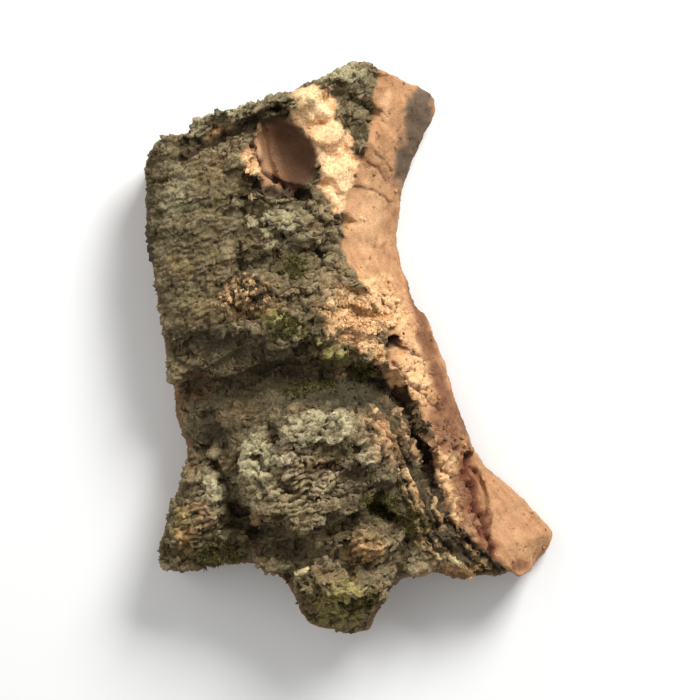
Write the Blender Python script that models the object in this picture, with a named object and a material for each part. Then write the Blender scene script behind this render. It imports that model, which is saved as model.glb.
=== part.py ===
"""A broken piece of virgin cork oak bark, lying with its rough outer face up.

The real thing is one piece of cork. It grew round a branch, so the plate is curved like a roof tile:
the outer face is split into ridges, blocks and crevices, the inner face is a shallow arch, and the
right-hand side is a fresh slanting cut that shows the cork through the whole thickness.

Lengths are in metres, +Z is up, and +Y runs along the branch. The piece rests on three small flat
spots under its two long edges, and the origin is under the middle of its bounding box.
"""

import itertools
import math

import bpy
import numpy as np

MM = 0.001  # one millimetre, in metres


def millimetres(values):
    """Turn a list written in millimetres into an array in metres."""
    return np.array(values, dtype=float) * MM


# Driving dimensions of the plate
BARK_THICKNESS = 15.0 * MM
THINNING_AT_CUT = 2.5 * MM  # how much thinner the plate is along the cut than along the left edge
ARCH_RISE = 9.0 * MM
EDGE_CLEARANCE = 0.9 * MM  # how far the long edges stay above the ground between the resting spots
CUT_FOOT_THICKNESS = 4.0 * MM  # upright inner layer left under the slanting cut
LEAST_THICKNESS = 3.0 * MM
RIDGE_LEAN = 0.42  # lean of the relief towards -Y, per unit of height: it undercuts the lower sides

# Fineness of the model
SLAB_HEIGHT = 12.0 * MM
VOXEL = 0.9 * MM
TRIANGLES = 11600

# Outline seen from above, from the top left corner down the left side and round
LEFT_SIDE = millimetres([
    (-42.0, 38.8), (-42.0, 29.0), (-40.5, 16.0), (-37.5, -4.0), (-36.0, -13.5), (-33.8, -19.5),
    (-34.5, -25.0), (-37.5, -33.5), (-39.5, -41.0), (-37.0, -45.0),
])
LOWER_END = millimetres([
    (-32.0, -44.8), (-26.0, -42.6), (-20.0, -43.2), (-15.0, -46.5), (-12.0, -51.5), (-7.5, -55.8),
    (-2.0, -57.6), (2.4, -57.0), (5.4, -53.6), (7.0, -48.8), (9.4, -46.0), (16.0, -45.4),
    (26.0, -46.0), (34.0, -45.4),
])
RIGHT_SIDE = millimetres([
    (38.5, -43.2), (41.6, -37.8), (38.0, -33.6), (34.5, -29.6), (26.4, -22.4), (23.2, -15.3),
    (19.1, -4.0), (15.0, 6.0), (12.5, 10.2), (10.0, 15.5), (8.9, 22.0), (9.4, 29.0), (12.0, 39.3),
    (15.0, 46.9), (16.8, 50.5), (14.5, 54.0),
])
UPPER_END = millimetres([
    (7.4, 56.1), (0.8, 58.0), (-5.4, 56.2), (-12.0, 53.0), (-22.2, 50.0), (-29.8, 47.0),
    (-34.0, 43.4), (-37.6, 42.8),
])
OUTLINE_STEPS = 5  # points of the smooth outline for each point above

# Upper edge of the slanting cut, from above the upper end to below the lower end
CUT_CREST = millimetres([
    (6.5, 64.0), (5.9, 56.0), (3.8, 42.0), (-0.8, 31.5), (-1.8, 20.5), (3.8, 10.2), (7.5, 1.5),
    (7.9, -7.5), (12.3, -11.7), (16.0, -20.5), (19.1, -29.0), (20.7, -34.0), (25.0, -38.3),
    (29.3, -42.0), (36.0, -50.0),
])
CUT_HOLLOWING = 0.85  # under 1 the cut face bulges a little, over 1 it is scooped
CREST_WANDER_SHARE = 0.6  # how much of the features' wandering the cut's upper edge follows
BARK_BEGINS = 0.72  # share of the way up the cut from which the outer face's relief fades in

# Raised blocks of the outer face: centre of the top, half sizes, turn in degrees, height, and the
# share of the half size that its slope takes
BLOCK_SQUARENESS = 2.6  # 2 makes oval blocks and hollows, more makes them squarer
BLOCKS = {
    "left slab": ((-32.5, 21.0), (11.0, 21.0), -4.0, 1.4, 0.3),
    "upper rim": ((-16.0, 51.0), (22.0, 4.6), 15.0, 3.8, 0.5),
    "rim corner": ((3.0, 52.5), (6.5, 5.0), -8.0, 1.8, 0.5),
    "fresh knoll": ((-5.5, 45.0), (5.0, 7.5), 25.0, 2.2, 0.5),
    "tongue": ((-7.0, 27.0), (5.0, 6.5), -15.0, 1.4, 0.5),
    "upper knoll": ((-13.0, 6.8), (13.5, 8.4), 4.0, 5.0, 0.36),
    "knoll step": ((-1.0, 13.0), (7.5, 5.5), -28.0, 2.4, 0.45),
    "lower ridge": ((-7.5, -23.5), (17.0, 13.0), 9.0, 4.8, 0.2),
    "ridge crown": ((-4.0, -16.5), (13.5, 5.8), 6.0, 2.6, 0.28),
    "ridge shoulder": ((-17.5, -28.0), (6.0, 6.0), 24.0, 1.6, 0.34),
    "lower left chunk": ((-31.5, -33.5), (6.6, 9.5), -14.0, 3.2, 0.34),
    "tan lobe": ((3.0, -39.5), (4.6, 4.8), 10.0, 3.0, 0.5),
    "moss lobe": ((-2.6, -51.0), (8.6, 5.6), -6.0, 3.0, 0.5),
    "crumbly shelf": ((17.0, -35.0), (10.0, 5.0), -24.0, 2.0, 0.5),
}

# Hollows: centre of the floor, half sizes, turn in degrees, depth, and the share the slope takes
HOLLOWS = {
    "rotten pit": ((-20.5, 10.0), (4.8, 3.8), 12.0, 4.4, 0.75),
    "left of the valley": ((-29.5, -7.5), (8.5, 6.0), -12.0, 3.6, 0.8),
    "under the knoll": ((-10.0, -4.5), (12.0, 4.2), 8.0, 3.6, 0.7),
    "moss crevice": ((6.5, -31.5), (5.0, 4.4), -18.0, 6.0, 0.7),
    "lower terrace": ((-12.0, -50.5), (24.0, 8.6), -7.0, 8.6, 0.2),
    "crumbled lower edge": ((19.0, -46.5), (15.0, 6.5), 2.0, 6.0, 0.8),
    "under the ridge": ((-14.0, -38.6), (9.0, 3.2), -12.0, 4.6, 0.6),
    "between the chunks": ((-23.2, -34.5), (2.4, 7.0), -28.0, 3.6, 0.85),
}

# The smooth scoop under the upper rim: a bowl with a steep wall along its lower left
SCOOP_CENTRE = millimetres((-13.0, 39.0))
SCOOP_HALF = millimetres((6.4, 8.2))
SCOOP_TURN = 20.0
SCOOP_DEPTH = 5.4 * MM
SCOOP_TILT = 0.45  # how much deeper than its middle it is at the left end, and shallower at the right
SCOOP_ROUNDING = 0.7  # 1 makes a plain bowl, less makes the floor flatter and the wall steeper
SCOOP_MARGIN = 1.15  # the smooth face reaches this far past the bowl
SCOOP_SMOOTHNESS = 0.95

# The left slab is less broken than the rest
SMOOTH_SLAB = ((-33.0, 20.0), (11.0, 26.0), -4.0, 0.3)
SLAB_SMOOTHNESS = 0.55
SWELL_EVERYWHERE = 0.3  # share of the swell that even the smoothest parts have
ROUGHNESS_EVERYWHERE = 0.35

# Crevices of the outer face: path, half width and depth
CREVICES = {
    "valley": ([(-41, -8), (-36, -8), (-22, -6.0), (-7, -3.8), (3.0, -5.6), (8.0, -7.5)], 5.6, 5.6),
    "valley floor": ([(-38, -10), (-28, -9.0), (-17, -5.4), (-7, -4.8), (2, -6.2)], 2.6, 2.6),
    "scoop wall": ([(-18.6, 44), (-18.0, 38), (-15.0, 33.6), (-10.5, 32.2)], 1.5, 3.2),
    "chunk fissure": ([(-27, -22.5), (-24.6, -28.6), (-20, -37.5)], 2.4, 4.6),
    "cut fissure": ([(10.0, -9.0), (12.2, -13.0), (15.0, -20.5), (13.8, -26.5)], 2.0, 5.0),
    "ridge split": ([(-18.5, -18.5), (-13.0, -24), (-14.0, -33)], 1.5, 2.6),
    "ridge cross split": ([(-13.0, -25.5), (-5, -27.5), (5.0, -25.0)], 1.4, 2.2),
    "slab split": ([(-21.5, 34.0), (-23.5, 22.0), (-22.0, 17.5)], 1.5, 1.8),
    "tongue split": ([(-19.5, 29.0), (-12.0, 30.0), (-6.0, 33.5)], 1.4, 2.0),
}

# Marks on the slanting cut: path, half width and depth
CUT_MARKS = {
    "knot hole": ([(8.4, 1.9), (9.4, 1.3)], 2.2, 3.6),
    "crack over the hole": ([(-1.0, 10.5), (4.0, 7.4), (8.6, 2.4)], 1.2, 1.8),
    "crack across": ([(6.0, -5.5), (11.0, -3.5), (18.5, -5.5)], 1.0, 1.0),
    "lower cut fissure": ([(18.6, -26.0), (20.2, -31.5), (21.0, -36.0)], 2.0, 4.4),
    "red fissure": ([(24.2, -20.0), (26.4, -32.0), (28.6, -43.0)], 2.0, 4.6),
    "step below the smooth part": ([(-3.0, 17.5), (3.5, 16.0), (10.0, 13.0)], 1.6, 1.3),
}

# Layers, plates, cracks and roughness that cover the outer face. Waves are given as size and height.
SWELL = ((14.0 * MM, 1.8 * MM), (6.0 * MM, 1.0 * MM))
SWELL_STRETCH = (0.8, 1.25, 1.0)  # a little longer across the branch than along it
LAYER_STEP = 1.9 * MM  # the bark breaks away in layers of this thickness
LAYER_SHARE = 0.75  # how much of the relief goes in steps
LAYER_FLAT_SHARE = 0.55  # part of each step that is flat
PLATE_LENGTH = 8.6 * MM
PLATE_WIDTH = 5.4 * MM
PLATE_TURN = 9.0
PLATE_STEP = 1.5 * MM
PLATE_CRACK_DEPTH = 1.6 * MM
PLATE_CRACK_SHARE = 0.2
ACROSS_STRETCH = (0.45, 1.0, 1.0)
ALONG_STRETCH = (1.0, 0.5, 1.0)
ACROSS_CRACKS = (8.5 * MM, 2.6 * MM)  # spacing and depth of the cracks across the branch
ALONG_CRACKS = (10.0 * MM, 2.0 * MM)
CRACK_SHARE = 0.2  # part of a wave that a crack takes
WAVE_GAIN = 1.6  # brings random waves up to a height of about 1
ROUGHNESS = ((4.0 * MM, 0.5 * MM), (2.2 * MM, 0.25 * MM))
CUT_ROUGHNESS = ((8.0 * MM, 0.8 * MM), (3.2 * MM, 0.3 * MM))
EDGE_WANDER = ((9.0 * MM, 1.5 * MM), (3.6 * MM, 0.7 * MM))  # how the edges of features wander
WALL_WANDER = ((7.0 * MM, 0.8 * MM), (3.0 * MM, 0.4 * MM))  # how the broken sides wander
WALL_LAYERS = (3.0 * MM, 0.55 * MM)  # growth layers that stand in and out on the broken sides
LAYER_STRETCH = (0.22, 0.22, 1.0)
STRAIGHT_FOOT = 4.0 * MM  # the sides start to wander only above the ground
INNER_GRAIN = ((7.0 * MM, 0.5 * MM, 71), (3.0 * MM, 0.25 * MM, 72))  # size, height and seed of the waves
INNER_STRETCH = 0.35  # they are longer along the branch than across it

# Resting spots under the long edges: centre, radius of the flat
RESTING_SPOTS = millimetres([(7.2, 22.0), (35.5, -38.5), (-35.8, -1.5)])
SPOT_DROP = 2.6 * MM
SPOT_RADIUS = 3.4 * MM
SPOT_SPREAD = 10.0 * MM
SNAP_TO_GROUND = 0.06 * MM

BARK_COLOUR = (0.115, 0.088, 0.05, 1.0)
BARK_ROUGHNESS = 0.95
SHARP_EDGE = 50.0  # degrees between faces from which an edge is shaded as sharp


def blend_step(low, high, value):
    """Smooth step from 0 at low to 1 at high."""
    share = np.clip((value - low) / (high - low), 0.0, 1.0)
    return share * share * (3.0 - 2.0 * share)


def turned(x, y, degrees):
    """Coordinates measured along axes turned by an angle."""
    angle = math.radians(degrees)
    return x * math.cos(angle) + y * math.sin(angle), y * math.cos(angle) - x * math.sin(angle)


def lattice_random(cell, seed):
    """A repeatable random number from 0 to 1 for each point of a whole-number lattice."""
    mixed = cell[..., 0] * 374761393 + cell[..., 1] * 668265263 + cell[..., 2] * 1440662683
    mixed = mixed + seed * 1274126177
    mixed = (mixed ^ (mixed >> 13)) * 1103515245
    mixed = (mixed ^ (mixed >> 15)) * 12345701
    mixed = mixed ^ (mixed >> 12)
    return (mixed & 0xFFFF) / 0xFFFF


def waves(points, size, seed):
    """Smooth random waves about one size across, mostly between -1 and 1."""
    scaled = points / size
    cell = np.floor(scaled).astype(np.int64)
    inside = scaled - cell
    ease = inside ** 3 * (inside * (inside * 6.0 - 15.0) + 10.0)
    total = np.zeros(len(points))
    for corner in itertools.product((0, 1), repeat=3):
        corner = np.array(corner)
        offset = inside - corner
        slope = [lattice_random(cell + corner, seed + 17 * axis) * 2.0 - 1.0 for axis in range(3)]
        height = sum(slope[axis] * offset[:, axis] for axis in range(3))
        weight = np.prod(np.where(corner == 1, ease, 1.0 - ease), axis=1)
        total += weight * height
    return total * WAVE_GAIN


def layered_waves(points, layers, seed):
    """Waves of several sizes added together, in metres."""
    return sum(height * waves(points, size, seed + 101 * number)
               for number, (size, height) in enumerate(layers))


def in_layers(height):
    """The same relief broken into flat layers with steep edges."""
    level = height / LAYER_STEP
    whole = np.floor(level)
    return LAYER_STEP * (whole + blend_step(LAYER_FLAT_SHARE, 1.0, level - whole))


def plates(x, y, seed):
    """Small plates at different heights with cracks between them."""
    along, across = turned(x, y, PLATE_TURN)
    place = plan(along / PLATE_LENGTH, across / PLATE_WIDTH)
    home = np.floor(place).astype(np.int64)
    nearest = np.full(len(x), np.inf)
    second = np.full(len(x), np.inf)
    number = np.zeros(len(x))
    for step_x, step_y in itertools.product((-1, 0, 1), repeat=2):
        cell = home + np.array([step_x, step_y, 0])
        centre_x = cell[:, 0] + lattice_random(cell, seed)
        centre_y = cell[:, 1] + lattice_random(cell, seed + 1)
        distance = np.hypot(place[:, 0] - centre_x, place[:, 1] - centre_y)
        closer = distance < nearest
        second = np.where(closer, nearest, np.minimum(second, distance))
        number = np.where(closer, lattice_random(cell, seed + 2), number)
        nearest = np.where(closer, distance, nearest)
    crack = 1.0 - blend_step(0.0, PLATE_CRACK_SHARE, second - nearest)
    strength = blend_step(-0.4, 0.5, waves(plan(x, y), 2.0 * PLATE_LENGTH, seed + 3))
    return PLATE_STEP * (number - 0.5) - strength * PLATE_CRACK_DEPTH * crack


def cracks(points, stretch, spacing, depth, seed):
    """Wandering cracks along one direction, deeper in some places than in others."""
    line = np.abs(waves(points * stretch, spacing, seed))
    strength = blend_step(-0.5, 0.5, waves(points, 2.0 * spacing, seed + 7))
    return strength * depth * (1.0 - blend_step(0.0, CRACK_SHARE, line))


def to_path(x, y, path):
    """Distance to a path of straight runs, and on which side of it (1 is to its left)."""
    best = np.full(len(x), np.inf)
    side = np.ones(len(x))
    for (ax, ay), (bx, by) in zip(path[:-1], path[1:]):
        run_x, run_y = bx - ax, by - ay
        share = ((x - ax) * run_x + (y - ay) * run_y) / (run_x ** 2 + run_y ** 2)
        share = np.clip(share, 0.0, 1.0)
        off_x, off_y = x - (ax + share * run_x), y - (ay + share * run_y)
        distance = np.hypot(off_x, off_y)
        closer = distance < best
        best = np.where(closer, distance, best)
        side = np.where(closer, np.sign(run_x * off_y - run_y * off_x), side)
    return best, side


def mound(x, y, centre, half, turn, slope_share):
    """1 on a rounded block's top, 0 outside it, with a slope between."""
    along, across = turned(x - centre[0] * MM, y - centre[1] * MM, turn)
    along, across = np.abs(along / (half[0] * MM)), np.abs(across / (half[1] * MM))
    radius = (along ** BLOCK_SQUARENESS + across ** BLOCK_SQUARENESS) ** (1.0 / BLOCK_SQUARENESS)
    return 1.0 - blend_step(1.0 - slope_share, 1.0, radius)


def scoop(x, y):
    """Depth of the smooth scoop: deepest beside its steep lower left wall."""
    along, across = turned(x - SCOOP_CENTRE[0], y - SCOOP_CENTRE[1], SCOOP_TURN)
    radius = np.hypot(along / SCOOP_HALF[0], across / SCOOP_HALF[1])
    tilt = 1.0 - SCOOP_TILT * np.clip(along / SCOOP_HALF[0], -1.0, 1.0)
    return SCOOP_DEPTH * tilt * np.clip(1.0 - radius ** 2, 0.0, 1.0) ** SCOOP_ROUNDING


def plan(x, y):
    """Points of the ground plane, to read waves at."""
    return np.column_stack([x, y, np.zeros(len(x))])


def outer_relief(x, y):
    """Height of the outer face over the plain curved plate."""
    flat = plan(x, y)
    x = x + layered_waves(flat, EDGE_WANDER, 11)
    y = y + layered_waves(flat, EDGE_WANDER, 29)
    relief = np.zeros(len(x))
    for centre, half, turn, height, slope_share in BLOCKS.values():
        before_lean = y - RIDGE_LEAN * height * MM
        relief += height * MM * mound(x, before_lean, centre, half, turn, slope_share)
    for centre, half, turn, depth, slope_share in HOLLOWS.values():
        before_lean = y + RIDGE_LEAN * depth * MM
        relief -= depth * MM * mound(x, before_lean, centre, half, turn, slope_share)
    relief -= grooves(x, y, CREVICES)
    broken = relief_share(x, y)
    swell_share = SWELL_EVERYWHERE + (1.0 - SWELL_EVERYWHERE) * broken
    relief += swell_share * layered_waves(flat * SWELL_STRETCH, SWELL, 5)
    relief += LAYER_SHARE * broken * (in_layers(relief) - relief)
    relief += broken * plates(x, y, 37)
    relief -= broken * cracks(flat, ACROSS_STRETCH, *ACROSS_CRACKS, 61)
    relief -= broken * cracks(flat, ALONG_STRETCH, *ALONG_CRACKS, 67)
    rough_share = ROUGHNESS_EVERYWHERE + (1.0 - ROUGHNESS_EVERYWHERE) * broken
    relief += rough_share * layered_waves(flat, ROUGHNESS, 47)
    return relief - scoop(x, y)


def cut_relief(x, y):
    """Marks and small waves on the slanting cut."""
    flat = plan(x, y)
    return layered_waves(flat, CUT_ROUGHNESS, 53) - grooves(x, y, CUT_MARKS)


def grooves(x, y, marks):
    """Depth of a set of crevices."""
    depth_here = np.zeros(len(x))
    for path, half_width, depth in marks.values():
        distance, _ = to_path(x, y + RIDGE_LEAN * depth * MM, millimetres(path))
        depth_here += depth * MM * (1.0 - blend_step(0.0, half_width * MM, distance))
    return depth_here


def relief_share(x, y):
    """How broken the outer face is: little on the left slab and in the scoop, much elsewhere."""
    slab = mound(x, y, *SMOOTH_SLAB)
    bowl = mound(x, y, SCOOP_CENTRE / MM, SCOOP_HALF * SCOOP_MARGIN / MM, SCOOP_TURN, 0.3)
    return np.clip(1.0 - SLAB_SMOOTHNESS * slab - SCOOP_SMOOTHNESS * bowl, 0.0, 1.0)


def share_across(x, y):
    """0 at the left side, 1 at the right side."""
    to_left, _ = to_path(x, y, LEFT_SIDE)
    to_right, _ = to_path(x, y, RIGHT_SIDE)
    return to_left / (to_left + to_right)


def arch(across):
    """Height of the arch over the ground, before its resting spots."""
    return EDGE_CLEARANCE + ARCH_RISE * 4.0 * across * (1.0 - across)


def inner_face(x, y):
    """Height of the arched inner face over the ground, with its three resting spots."""
    along_grain = plan(x, y * INNER_STRETCH)
    height = arch(share_across(x, y))
    for size, depth, seed in INNER_GRAIN:
        height += depth * waves(along_grain, size, seed)
    for spot_x, spot_y in RESTING_SPOTS:
        distance = np.hypot(x - spot_x, y - spot_y)
        height -= SPOT_DROP * (1.0 - blend_step(SPOT_RADIUS, SPOT_SPREAD, distance))
    return np.maximum(height, 0.0)


def outer_face(x, y, ground):
    """Height of the outer face, which falls along the right side as the slanting cut.

    The second value is the relief in it, which leans."""
    across = share_across(x, y)
    plate = arch(across) + BARK_THICKNESS - THINNING_AT_CUT * across
    crest_x = x + CREST_WANDER_SHARE * layered_waves(plan(x, y), EDGE_WANDER, 83)
    to_crest, side = to_path(crest_x, y, CUT_CREST)
    to_foot, _ = to_path(x, y, RIGHT_SIDE)
    up_the_cut = np.where(side > 0, to_foot / (to_foot + to_crest), 1.0)
    foot = ground + CUT_FOOT_THICKNESS
    slope = foot + (plate - foot) * up_the_cut ** CUT_HOLLOWING
    on_bark = blend_step(BARK_BEGINS, 1.0, up_the_cut)
    relief = on_bark * outer_relief(x, y) + (1.0 - on_bark) * cut_relief(x, y)
    return np.maximum(slope + relief, ground + LEAST_THICKNESS), relief


def smooth_loop(points, steps):
    """A closed smooth curve through the points."""
    count = len(points)
    loop = []
    for number in range(count):
        before, start, end, after = (points[(number + offset) % count] for offset in (-1, 0, 1, 2))
        for step in range(steps):
            t = step / steps
            loop.append(0.5 * (2 * start + (end - before) * t
                               + (2 * before - 5 * start + 4 * end - after) * t ** 2
                               + (3 * start - before - 3 * end + after) * t ** 3))
    return np.array(loop)


def flat_slab():
    """A flat slab with the bark's outline, remeshed into small even faces."""
    outline = smooth_loop(np.vstack([LEFT_SIDE, LOWER_END, RIGHT_SIDE, UPPER_END]), OUTLINE_STEPS)
    count = len(outline)
    low = [(x, y, 0.0) for x, y in outline]
    high = [(x, y, SLAB_HEIGHT) for x, y in outline]
    sides = [(i, (i + 1) % count, count + (i + 1) % count, count + i) for i in range(count)]
    bottom = tuple(reversed(range(count)))
    top = tuple(range(count, 2 * count))
    mesh = bpy.data.meshes.new("slab")
    mesh.from_pydata(low + high, [], sides + [bottom, top])
    mesh.update()
    slab = bpy.data.objects.new("slab", mesh)
    bpy.context.scene.collection.objects.link(slab)
    even = slab.modifiers.new("Even faces", "REMESH")
    even.mode = "VOXEL"
    even.voxel_size = VOXEL
    return slab


def finished_mesh(source, name):
    """The mesh that an object's modifiers give, as a new mesh; the object is removed."""
    graph = bpy.context.evaluated_depsgraph_get()
    mesh = bpy.data.meshes.new_from_object(source.evaluated_get(graph))
    mesh.name = name
    bpy.data.objects.remove(source)
    return mesh


def read_points(mesh):
    """A mesh's points as an array."""
    flat = np.empty(len(mesh.vertices) * 3)
    mesh.vertices.foreach_get("co", flat)
    return flat.reshape(-1, 3)


def write_points(mesh, points):
    """Put an array of points back into a mesh."""
    mesh.vertices.foreach_set("co", points.ravel())
    mesh.update()


def shape_bark(mesh):
    """Bend the flat slab into the curved plate and raise its relief."""
    points = read_points(mesh)
    x, y = points[:, 0].copy(), points[:, 1].copy()
    share_up = np.clip(points[:, 2] / SLAB_HEIGHT, 0.0, 1.0)
    ground = inner_face(x, y)
    top, relief = outer_face(x, y, ground)
    points[:, 2] = ground + share_up * (top - ground)
    wander = blend_step(0.0, STRAIGHT_FOOT, points[:, 2])
    size, depth = WALL_LAYERS
    layers = depth * waves(points * LAYER_STRETCH, size, 191)
    sway_x = layered_waves(points, WALL_WANDER, 131) + layers
    sway_y = layered_waves(points, WALL_WANDER, 173) + layers
    points[:, 0] += wander * sway_x
    points[:, 1] += wander * (sway_y - RIDGE_LEAN * share_up * relief)
    write_points(mesh, points)


def thin_out(mesh):
    """Keep the faces where the shape needs them, down to the chosen number of triangles."""
    fine = bpy.data.objects.new("fine bark", mesh)
    bpy.context.scene.collection.objects.link(fine)
    triangles = sum(len(face.vertices) - 2 for face in mesh.polygons)
    fewer = fine.modifiers.new("Fewer faces", "DECIMATE")
    fewer.ratio = TRIANGLES / triangles
    fewer.use_collapse_triangulate = True
    return finished_mesh(fine, "bark_piece")


def seat(mesh):
    """Flatten the resting spots and put the origin under the middle of the box."""
    points = read_points(mesh)
    points[:, 2] = np.where(points[:, 2] < SNAP_TO_GROUND, 0.0, points[:, 2])
    middle = (points.min(axis=0) + points.max(axis=0)) / 2
    points[:, :2] -= middle[:2]
    write_points(mesh, points)


def bark_material():
    """Dull grey-brown outer bark."""
    material = bpy.data.materials.new("bark")
    material.use_nodes = True
    shader = material.node_tree.nodes["Principled BSDF"]
    shader.inputs["Base Color"].default_value = BARK_COLOUR
    shader.inputs["Roughness"].default_value = BARK_ROUGHNESS
    shader.inputs["Metallic"].default_value = 0.0
    return material


def make_bark():
    """Build the whole piece as one closed solid."""
    mesh = finished_mesh(flat_slab(), "fine bark")
    shape_bark(mesh)
    mesh = thin_out(mesh)
    seat(mesh)
    mesh.materials.clear()
    mesh.materials.append(bark_material())
    mesh.shade_smooth()
    mesh.set_sharp_from_angle(angle=math.radians(SHARP_EDGE))
    bark = bpy.data.objects.new("bark_piece", mesh)
    bpy.context.scene.collection.objects.link(bark)
    return bark


for old in list(bpy.data.objects):
    bpy.data.objects.remove(old)
make_bark()
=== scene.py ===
# %% [markdown]
# # A broken piece of cork oak bark
#
# The real thing is one piece of virgin cork: the first bark of a cork oak, prised off a branch and
# broken by hand. Its outer face is grey-brown and deeply fissured, with lichen on the ridges and moss in
# the crevices. Along the right side a fresh slanting cut shows the orange cork inside.
#
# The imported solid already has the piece's size, its arch, its ridges, its valley and its cut. This
# lesson keeps all of that and adds what the solid can't hold: cracked plates, layers, grains of cork,
# flakes, moss, lichen and colour.

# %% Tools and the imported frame
import itertools
import math

import bmesh
import bpy
import numpy as np
from mathutils import Matrix, Vector
from mathutils.bvhtree import BVHTree


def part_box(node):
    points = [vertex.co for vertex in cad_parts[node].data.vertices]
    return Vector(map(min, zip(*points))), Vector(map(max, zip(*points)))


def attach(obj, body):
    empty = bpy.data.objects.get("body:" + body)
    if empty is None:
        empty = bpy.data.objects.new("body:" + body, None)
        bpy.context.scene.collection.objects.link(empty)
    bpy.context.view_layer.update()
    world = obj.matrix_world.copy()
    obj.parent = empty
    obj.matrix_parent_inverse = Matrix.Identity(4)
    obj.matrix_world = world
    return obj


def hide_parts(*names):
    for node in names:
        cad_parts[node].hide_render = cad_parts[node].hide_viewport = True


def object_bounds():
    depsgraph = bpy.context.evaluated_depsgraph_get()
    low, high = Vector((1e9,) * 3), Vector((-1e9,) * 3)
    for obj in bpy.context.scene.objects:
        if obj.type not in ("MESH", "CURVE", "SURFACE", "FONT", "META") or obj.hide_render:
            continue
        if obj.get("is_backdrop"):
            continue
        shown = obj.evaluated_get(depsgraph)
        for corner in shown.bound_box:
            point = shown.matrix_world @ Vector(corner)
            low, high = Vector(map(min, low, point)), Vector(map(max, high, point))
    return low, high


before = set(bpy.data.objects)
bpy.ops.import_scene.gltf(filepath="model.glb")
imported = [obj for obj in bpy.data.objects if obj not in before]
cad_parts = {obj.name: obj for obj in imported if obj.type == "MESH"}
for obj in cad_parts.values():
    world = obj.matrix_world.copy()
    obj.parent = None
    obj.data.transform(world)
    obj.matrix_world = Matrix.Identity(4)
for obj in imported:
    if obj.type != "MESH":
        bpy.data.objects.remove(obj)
cad_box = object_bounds()
solid_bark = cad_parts["bark_piece"]
low_corner, high_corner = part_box("bark_piece")
print("bark solid, mm:", [round(1000 * side, 1) for side in high_corner - low_corner])

# %% [markdown]
# ## One millimetre at a time
#
# Bark is described most easily in millimetres, because its plates are 4 to 10 mm across and its
# grains about 1 mm. Blender works in metres, so every size below is written as a number of `MM`. Places on
# the bark are given from the middle of the piece, which is also the origin of the frame.

# %% Millimetres
MM = 0.001


def millimetres(values):
    """Turn a list written in millimetres into an array in metres."""
    return np.array(values, dtype=float) * MM


# %% [markdown]
# ## The camera
#
# The bark lies flat and is seen from straight above, with the branch's direction up the picture. A long
# lens from 0.6 m keeps the perspective mild, so the outline stays as it is on the real piece.

# %% Camera
CAMERA_HEIGHT = 600 * MM
PICTURE_WIDTH = 141 * MM  # what the camera takes in at the height of the ridges
RIDGE_HEIGHT = 20 * MM

camera = bpy.data.objects.new("camera", bpy.data.cameras.new("camera"))
bpy.context.scene.collection.objects.link(camera)
camera.location = (0, 0, CAMERA_HEIGHT)
camera.data.lens = camera.data.sensor_width * (CAMERA_HEIGHT - RIDGE_HEIGHT) / PICTURE_WIDTH
bpy.context.scene.camera = camera
print("lens, mm:", round(camera.data.lens))

# %% [markdown]
# ## Random waves
#
# Nearly everything on bark is irregular but has a typical size. `waves` is gradient noise: it gives
# each point in space a smooth random value, and repeats exactly each time because its randomness is
# only arithmetic on whole numbers. Reading it at points that have been stretched gives streaks.

# %% Waves
def lattice_random(cell, seed):
    """A repeatable random number from 0 to 1 for each point of a whole-number lattice."""
    mixed = cell[..., 0] * 374761393 + cell[..., 1] * 668265263 + cell[..., 2] * 1440662683
    mixed = mixed + seed * 1274126177
    mixed = (mixed ^ (mixed >> 13)) * 1103515245
    mixed = (mixed ^ (mixed >> 15)) * 12345701
    mixed = mixed ^ (mixed >> 12)
    return (mixed & 0xFFFF) / 0xFFFF


def waves(points, size, seed, stretch=(1.0, 1.0, 1.0)):
    """Smooth random values from about -1 to 1, with waves of the given size."""
    scaled = points / (size * np.array(stretch))
    cell = np.floor(scaled).astype(np.int64)
    inside = scaled - cell
    ease = inside ** 3 * (inside * (inside * 6.0 - 15.0) + 10.0)
    total = np.zeros(len(points))
    for corner in itertools.product((0, 1), repeat=3):
        offset = inside - corner
        weight = np.ones(len(points))
        slope = np.zeros(len(points))
        for axis in range(3):
            weight *= ease[:, axis] if corner[axis] else 1.0 - ease[:, axis]
            slope += (lattice_random(cell + corner, seed + 17 * axis) * 2.0 - 1.0) * offset[:, axis]
        total += weight * slope
    return total * 1.6


def blend_step(low, high, value):
    """Smooth step from 0 at low to 1 at high."""
    share = np.clip((value - low) / (high - low), 0.0, 1.0)
    return share * share * (3.0 - 2.0 * share)


# %% [markdown]
# ## Cracked cells
#
# Cork breaks into lumps. Scattering one centre in each cell of a lattice and asking which centre is
# nearest divides space into such lumps. The gap between the nearest and the second nearest centre is
# small along the cracks. Each lump gets its own random number for its height or its tone, and its own
# slant, so that it has a flat broken top instead of a round one. Moving the points about a little first
# makes the cracks crooked.

# %% Cells
def cells(points, size, seed, stretch=(1.0, 1.0, 1.0)):
    """How far each point is from the nearest crack, and its lump's own number and slanted top."""
    scaled = points / (size * np.array(stretch))
    home = np.floor(scaled).astype(np.int64)
    nearest = np.full(len(points), np.inf)
    second = np.full(len(points), np.inf)
    number = np.zeros(len(points))
    slant = np.zeros(len(points))
    for step in itertools.product((-1, 0, 1), repeat=3):
        cell = home + step
        distance = np.zeros(len(points))
        tilt = np.zeros(len(points))
        for axis in range(3):
            random = lattice_random(cell, seed + 5 * axis)
            off = scaled[:, axis] - cell[:, axis] - random
            distance += off ** 2
            tilt += off * (2.0 * np.modf(random * 57.0)[0] - 1.0)
        distance = np.sqrt(distance)
        closer = distance < nearest
        second = np.where(closer, nearest, np.minimum(second, distance))
        number = np.where(closer, lattice_random(cell, seed + 31), number)
        slant = np.where(closer, tilt, slant)
        nearest = np.where(closer, distance, nearest)
    return second - nearest, number, slant


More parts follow.
